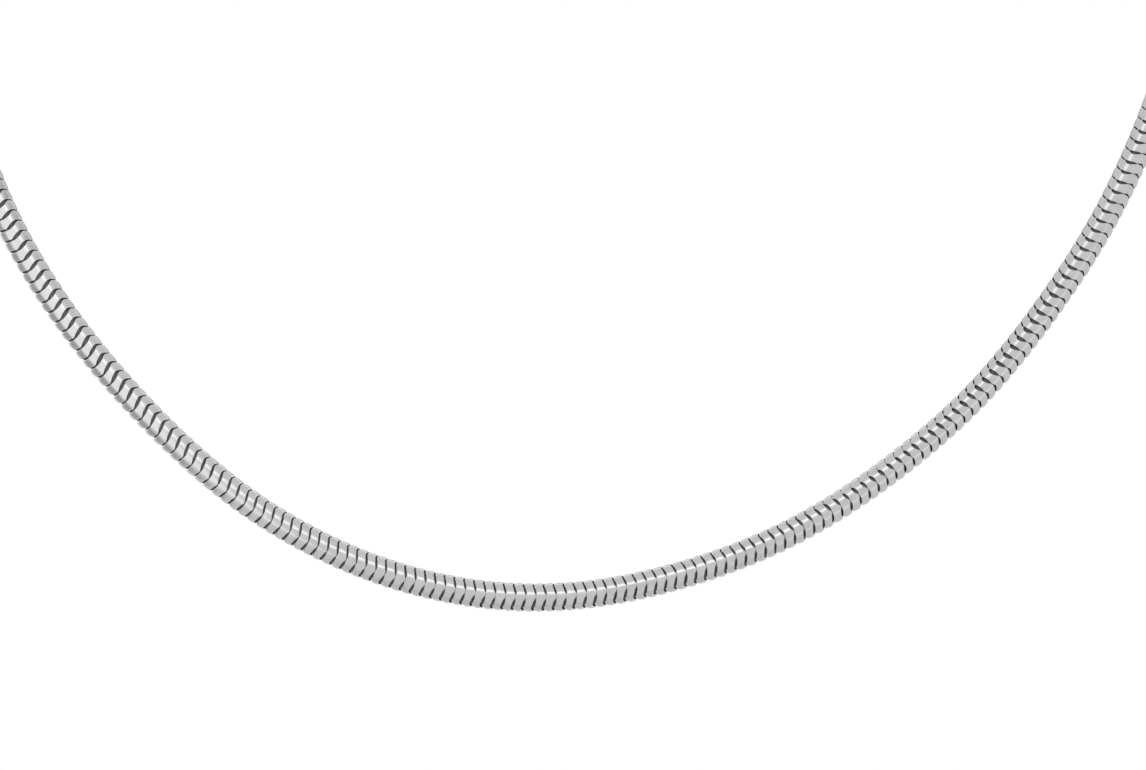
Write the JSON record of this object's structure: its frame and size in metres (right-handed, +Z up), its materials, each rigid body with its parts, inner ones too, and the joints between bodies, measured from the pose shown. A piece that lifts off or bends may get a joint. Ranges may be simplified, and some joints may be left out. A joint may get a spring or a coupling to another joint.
{
  "type": "snake chain necklace",
  "caption": "Round snake chain necklace in bright white metal, a closed loop hanging as worn, with end caps and a plain S-hook clasp.",
  "frame": {"origin": "middle of the clasp, where the back of the neck carries the loop", "axes": "+Z up, +X to the viewer's right along the loop's width, -Y towards whoever looks at the necklace from the front; the loop lies in the XZ plane"},
  "size_m": [0.1443, 0.0076, 0.1545],
  "materials": {
    "chain": "bright silver, lightly satin, with tight dark slits between its rings",
    "end_cap": "polished silver",
    "clasp": "polished silver"
  },
  "bodies": {
    "root": {"chain": "chain", "end_cap_left": "end_cap", "end_cap_right": "end_cap", "clasp": "clasp"}
  },
  "joints": []
}
